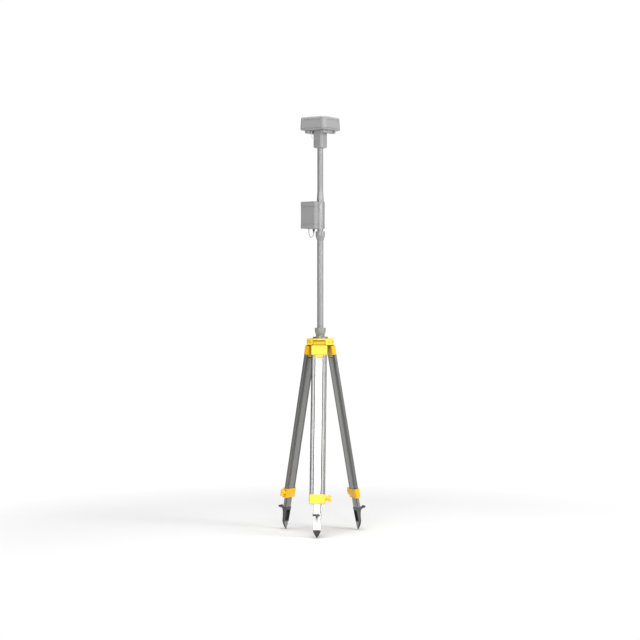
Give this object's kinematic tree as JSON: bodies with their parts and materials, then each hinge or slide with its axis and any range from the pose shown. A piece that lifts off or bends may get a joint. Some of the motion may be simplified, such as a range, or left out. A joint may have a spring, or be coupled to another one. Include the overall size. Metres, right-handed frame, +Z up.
{
  "type": "gnss receiver",
  "caption": "Satellite survey receiver with square radome head on a telescopic mast, clamped power and radio box, and heavy tripod with sliding legs and pointed feet.",
  "frame": {"origin": "mast axis in the top face of the tripod head, which is a point on the axis of the hollow fixing screw's bore", "axes": "+Z up along the mast; receiver and box faces are square with X and Y; the box hangs on the -X side; the legs stand at -60, +60 and 180 degrees from +X"},
  "size_m": [0.4297, 0.4704, 2.1958],
  "materials": {
    "yellow_enamel": "gloss enamel over cast aluminium",
    "yellow_plastic": "moulded nylon",
    "leg_aluminium": "satin anodised extrusion",
    "inner_leg_aluminium": "satin anodised extrusion",
    "shoe_steel": "zinc plated casting",
    "tip_steel": "hardened, dark",
    "mast_grey": "light grey powder coat",
    "mast_bright": "polished",
    "dark_anodised": "dark anodised",
    "housing_grey": "fine satin moulding",
    "radome_grey": "fine satin moulding",
    "black_plastic": "moulded",
    "seal_rubber": "silicone",
    "cable_grey": "flexible PVC jacket",
    "screw_steel": "stainless",
    "insert_brass": "machined",
    "board_green": "solder resist",
    "antenna_ceramic": "fired ceramic",
    "ground_aluminium": "mill finish",
    "battery_black": "moulded",
    "lens_smoke": "smoked",
    "bush_nylon": "nylon"
  },
  "bodies": {
    "tripod_head_and_lower_mast": {"tripod_head": "yellow_enamel", "hinge_pins": "screw_steel", "screw_plate": "screw_steel", "mast_flange": "dark_anodised", "mast_socket": "mast_grey", "lower_mast_tube": "mast_grey", "mast_collet": "bush_nylon"},
    "fixing_screw_and_knob": {"fixing_screw": "insert_brass", "fixing_knob": "black_plastic"},
    "mast_collar_ring": {"mast_collar": "mast_grey"},
    "mast_upper": {"upper_mast_tube": "mast_grey", "mast_guide_bush": "bush_nylon", "mast_sleeve": "mast_bright", "mast_top_stud": "dark_anodised"},
    "receiver": {"radome_cover": "radome_grey", "lower_housing": "housing_grey", "housing_screws": "screw_steel", "housing_seal": "seal_rubber", "ground_plane": "ground_aluminium", "antenna_patch": "antenna_ceramic", "main_board": "board_green", "neck_housing": "housing_grey", "status_lens": "lens_smoke", "thread_insert": "insert_brass", "receiver_cable": "cable_grey"},
    "receiver_battery_left": {"battery_left": "housing_grey"},
    "receiver_battery_right": {"battery_right": "housing_grey"},
    "receiver_power_button": {"power_button": "black_plastic"},
    "power_box": {"box_case": "housing_grey", "box_top_cap": "housing_grey", "box_bottom_cap": "housing_grey", "box_gaskets": "seal_rubber", "box_clamp_rings": "mast_grey", "box_clamp_screws": "screw_steel", "box_circuit_board": "board_green", "box_battery": "battery_black", "box_ports": "dark_anodised", "box_cable": "cable_grey"},
    "power_box_button": {"box_power_button": "black_plastic"},
    "leg_a_upper": {"leg_a_hinge_block": "yellow_enamel", "leg_a_rails": "leg_aluminium", "leg_a_clamp_block": "yellow_enamel"},
    "leg_a_lower": {"leg_a_inner_leg": "inner_leg_aluminium", "leg_a_shoe": "shoe_steel", "leg_a_tip": "tip_steel"},
    "leg_a_lock": {"leg_a_lock_screw": "yellow_plastic"},
    "leg_b_upper": {"leg_b_hinge_block": "yellow_enamel", "leg_b_rails": "leg_aluminium", "leg_b_clamp_block": "yellow_enamel"},
    "leg_b_lower": {"leg_b_inner_leg": "inner_leg_aluminium", "leg_b_shoe": "shoe_steel", "leg_b_tip": "tip_steel"},
    "leg_b_lock": {"leg_b_lock_screw": "yellow_plastic"},
    "leg_c_upper": {"leg_c_hinge_block": "yellow_enamel", "leg_c_rails": "leg_aluminium", "leg_c_clamp_block": "yellow_enamel"},
    "leg_c_lower": {"leg_c_inner_leg": "inner_leg_aluminium", "leg_c_shoe": "shoe_steel", "leg_c_tip": "tip_steel"},
    "leg_c_lock": {"leg_c_lock_screw": "yellow_plastic"}
  },
  "joints": [
    {"name": "fixing_screw_turn", "type": "hinge", "parent": "tripod_head_and_lower_mast", "child": "fixing_screw_and_knob", "pos_m": [0, 0, -0.05], "axis": [0, 0, 1], "continuous": true},
    {"name": "mast_collar_twist", "type": "hinge", "parent": "tripod_head_and_lower_mast", "child": "mast_collar_ring", "pos_m": [0, 0, 0.55], "axis": [0, 0, 1], "range_deg": [0, 90]},
    {"name": "mast_extend", "type": "slide", "parent": "tripod_head_and_lower_mast", "child": "mast_upper", "axis": [0, 0, 1], "range_m": [0, 0.36]},
    {"name": "receiver_turn", "type": "hinge", "parent": "mast_upper", "child": "receiver", "pos_m": [0, 0, 1.02], "axis": [0, 0, 1], "continuous": true},
    {"name": "battery_left_slide", "type": "slide", "parent": "receiver", "child": "receiver_battery_left", "axis": [-1, 0, 0], "range_m": [0, 0.04]},
    {"name": "battery_right_slide", "type": "slide", "parent": "receiver", "child": "receiver_battery_right", "axis": [1, 0, 0], "range_m": [0, 0.04]},
    {"name": "power_button_press", "type": "slide", "parent": "receiver", "child": "receiver_power_button", "axis": [0, -1, 0], "range_m": [0, 0.001], "stiffness_N_per_m": 150, "springref_m": -0.0005},
    {"name": "power_box_swing", "type": "hinge", "parent": "mast_upper", "child": "power_box", "pos_m": [0, 0, 0.65], "axis": [0, 0, 1], "range_deg": [-90, 90]},
    {"name": "power_box_button_press", "type": "slide", "parent": "power_box", "child": "power_box_button", "axis": [1, 0, 0], "range_m": [0, 0.001], "stiffness_N_per_m": 150, "springref_m": -0.0005},
    {"name": "leg_a_spread", "type": "hinge", "parent": "tripod_head_and_lower_mast", "child": "leg_a_upper", "pos_m": [0.025, -0.0433, -0.019], "axis": [-0.866, -0.5, 0], "range_deg": [-10.2, 20]},
    {"name": "leg_a_extend", "type": "slide", "parent": "leg_a_upper", "child": "leg_a_lower", "axis": [0.0885, -0.1534, -0.9842], "range_m": [0, 0.58]},
    {"name": "leg_a_lock_turn", "type": "hinge", "parent": "leg_a_upper", "child": "leg_a_lock", "pos_m": [0.1488, -0.14774, -0.82476], "axis": [0.866, 0.5, 0], "range_deg": [0, 180]},
    {"name": "leg_b_spread", "type": "hinge", "parent": "tripod_head_and_lower_mast", "child": "leg_b_upper", "pos_m": [0.025, 0.0433, -0.019], "axis": [0.866, -0.5, 0], "range_deg": [-10.2, 20]},
    {"name": "leg_b_extend", "type": "slide", "parent": "leg_b_upper", "child": "leg_b_lower", "axis": [0.0885, 0.1534, -0.9842], "range_m": [0, 0.58]},
    {"name": "leg_b_lock_turn", "type": "hinge", "parent": "leg_b_upper", "child": "leg_b_lock", "pos_m": [0.05354, 0.20274, -0.82476], "axis": [-0.866, 0.5, 0], "range_deg": [0, 180]},
    {"name": "leg_c_spread", "type": "hinge", "parent": "tripod_head_and_lower_mast", "child": "leg_c_upper", "pos_m": [-0.05, 0, -0.019], "axis": [0, 1, 0], "range_deg": [-10.2, 20]},
    {"name": "leg_c_extend", "type": "slide", "parent": "leg_c_upper", "child": "leg_c_lower", "axis": [-0.1771, 0, -0.9842], "range_m": [0, 0.58]},
    {"name": "leg_c_lock_turn", "type": "hinge", "parent": "leg_c_upper", "child": "leg_c_lock", "pos_m": [-0.20234, -0.055, -0.82476], "axis": [0, -1, 0], "range_deg": [0, 180]}
  ]
}
